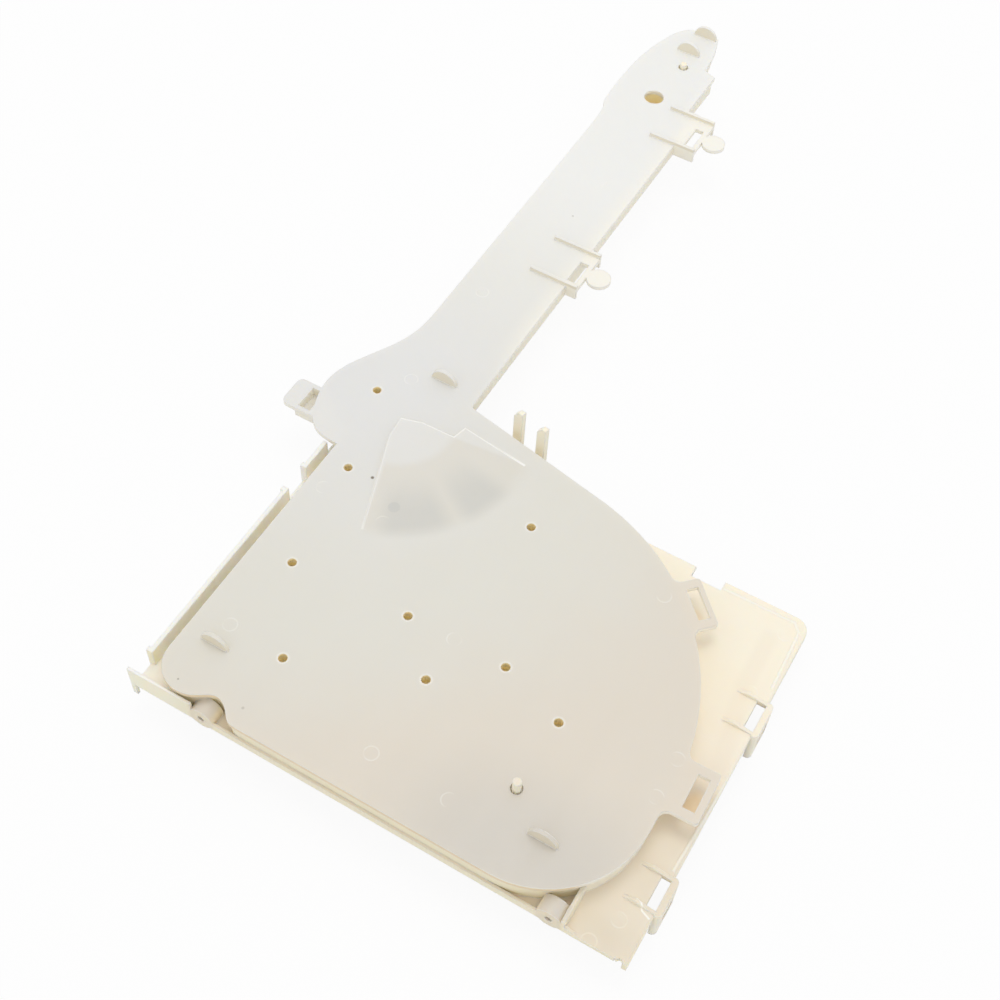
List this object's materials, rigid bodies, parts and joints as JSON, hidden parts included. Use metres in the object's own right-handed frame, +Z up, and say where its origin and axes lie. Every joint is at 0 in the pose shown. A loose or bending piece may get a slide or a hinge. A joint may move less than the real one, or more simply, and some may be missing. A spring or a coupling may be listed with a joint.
{
  "type": "washing machine dispenser cover",
  "caption": "Flat moulded cover of a washing machine's detergent dispenser: a channel lid with a long water arm closed over a ribbed roof panel with snap hoops.",
  "frame": {"origin": "centre of the box in plan, on the table", "axes": "+Y along the water arm to its tip, +X along the front edge to the snap hoops, +Z up"},
  "size_m": [0.2356, 0.4466, 0.0385],
  "materials": {
    "lid_plastic": "satin",
    "roof_plastic": "satin"
  },
  "bodies": {
    "root": {"channel_lid": "lid_plastic", "dispenser_roof": "roof_plastic"}
  },
  "joints": []
}
